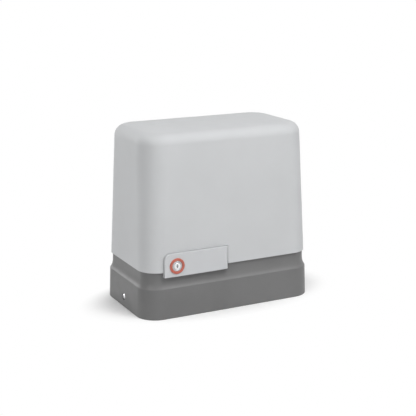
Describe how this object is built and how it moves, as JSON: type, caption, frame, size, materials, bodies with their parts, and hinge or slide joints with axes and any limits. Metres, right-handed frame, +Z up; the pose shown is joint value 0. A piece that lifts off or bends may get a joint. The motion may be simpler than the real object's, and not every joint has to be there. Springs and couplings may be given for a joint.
{
  "type": "sliding gate motor",
  "caption": "Sliding gate motor: cast base, lift-off cover, keyed release lever, worm gear drive with rear rack pinion, spring limit wand and control board.",
  "frame": {"origin": "centre of the foundation slot pattern, on the underside of the base", "axes": "+X along the base length, +Y towards the gate and the pinion, +Z up"},
  "size_m": [0.31, 0.2224, 0.2939],
  "materials": {
    "cast_base": "textured powder coat",
    "cover_shell": "fine moulded grain",
    "lever_shell": "smooth moulded",
    "ring_red": "smooth moulded",
    "bright_steel": "bright zinc",
    "turned_steel": "turned",
    "cast_alloy": "die cast",
    "gear_bronze": "hobbed",
    "lamination": "stacked sheet",
    "copper_wire": "varnished",
    "black_plastic": "moulded",
    "grey_plastic": "moulded",
    "board_green": "solder resist",
    "terminal_green": "moulded",
    "relay_blue": "moulded",
    "button_red": "moulded",
    "white_can": "moulded can",
    "seal_rubber": "moulded",
    "gasket_paper": "fibre sheet"
  },
  "bodies": {
    "base": {"base_housing": "cast_base", "levelling_screws": "bright_steel", "cover_end_screws": "bright_steel", "lever_hinge_pin": "turned_steel", "lever_hinge_bracket": "turned_steel", "bracket_screws": "bright_steel", "gearbox_case": "cast_alloy", "gearbox_front_cover": "cast_alloy", "gearbox_gasket": "gasket_paper", "gearbox_cover_screws": "bright_steel", "case_bolts": "bright_steel", "output_bearing_rear": "turned_steel", "output_bearing_front": "turned_steel", "worm_bearing_lower": "turned_steel", "worm_bearing_upper": "turned_steel", "motor_bearing_top": "turned_steel", "output_oil_seal": "seal_rubber", "stator_stack": "lamination", "stator_windings": "copper_wire", "motor_end_shield": "cast_alloy", "motor_tie_screws": "bright_steel", "limit_switch_box": "grey_plastic", "board_bracket": "grey_plastic", "bracket_floor_screws": "bright_steel", "control_board": "board_green", "board_screws": "bright_steel", "transformer": "black_plastic", "relays": "relay_blue", "terminal_blocks": "terminal_green", "fuse_holder": "black_plastic", "button_housings": "black_plastic", "run_capacitor": "white_can", "capacitor_clamp": "turned_steel"},
    "cover": {"cover": "cover_shell"},
    "release_lever": {"release_lever": "lever_shell", "lever_roller_pin": "turned_steel", "lock_body": "bright_steel", "lock_bezel_ring": "ring_red"},
    "lock": {"lock_barrel": "bright_steel", "lock_tongue": "turned_steel"},
    "yoke": {"release_yoke": "turned_steel"},
    "rotor": {"worm_shaft": "turned_steel", "rotor_core": "lamination"},
    "wheel": {"worm_wheel": "gear_bronze"},
    "output": {"output_shaft": "turned_steel", "drive_pinion": "turned_steel", "pinion_key": "turned_steel", "pinion_washer": "bright_steel", "pinion_bolt": "bright_steel", "pinion_spacer": "turned_steel", "clutch_collar": "turned_steel", "clutch_spring": "turned_steel"},
    "clutch": {"clutch_sleeve": "turned_steel", "release_rod": "turned_steel"},
    "limit_wand": {"limit_wand_hub": "black_plastic", "limit_wand_spring": "bright_steel", "limit_wand_tip": "black_plastic"},
    "program_button": {"program_button": "button_red"},
    "learn_button": {"learn_button": "white_can"}
  },
  "joints": [
    {"name": "cover_lift", "type": "slide", "parent": "base", "child": "cover", "axis": [0, 0, 1], "range_m": [0, 0.2]},
    {"name": "lever_swing", "type": "hinge", "parent": "base", "child": "release_lever", "pos_m": [-0.0126, -0.0825, 0.087], "axis": [0, 0, 1], "range_deg": [0, 90]},
    {"name": "lock_turn", "type": "hinge", "parent": "release_lever", "child": "lock", "pos_m": [-0.099, -0.08, 0.086], "axis": [0, 1, 0], "range_deg": [0, 90]},
    {"name": "yoke_slide", "type": "slide", "parent": "base", "child": "yoke", "axis": [0, -1, 0], "range_m": [0, 0.005]},
    {"name": "rotor_spin", "type": "hinge", "parent": "base", "child": "rotor", "pos_m": [-0.0626, 0.008, 0.0885], "axis": [0, 0, 1], "continuous": true},
    {"name": "wheel_spin", "type": "hinge", "parent": "base", "child": "wheel", "pos_m": [-0.0126, 0.008, 0.0885], "axis": [0, 1, 0], "continuous": true},
    {"name": "pinion_spin", "type": "hinge", "parent": "base", "child": "output", "pos_m": [-0.0126, 0, 0.0885], "axis": [0, 1, 0], "continuous": true},
    {"name": "clutch_slide", "type": "slide", "parent": "output", "child": "clutch", "axis": [0, -1, 0], "range_m": [0, 0.005], "deforming": ["clutch_spring"]},
    {"name": "wand_swing", "type": "hinge", "parent": "base", "child": "limit_wand", "pos_m": [-0.0126, 0.09, 0.141], "axis": [0, 1, 0], "range_deg": [-40, 40], "stiffness_Nm_per_rad": 0.05},
    {"name": "program_press", "type": "slide", "parent": "base", "child": "program_button", "axis": [0, 1, 0], "range_m": [0, 0.001], "stiffness_N_per_m": 300, "springref_m": -0.001},
    {"name": "learn_press", "type": "slide", "parent": "base", "child": "learn_button", "axis": [0, 1, 0], "range_m": [0, 0.001], "stiffness_N_per_m": 300, "springref_m": -0.001}
  ],
  "couplings": [
    {"joint": "yoke_slide", "follows": "lever_swing", "m_per_rad": 0.0031831},
    {"joint": "clutch_slide", "follows": "lever_swing", "m_per_rad": 0.0031831},
    {"joint": "wheel_spin", "follows": "rotor_spin", "ratio": -0.033333},
    {"joint": "pinion_spin", "follows": "rotor_spin", "ratio": -0.033333}
  ]
}
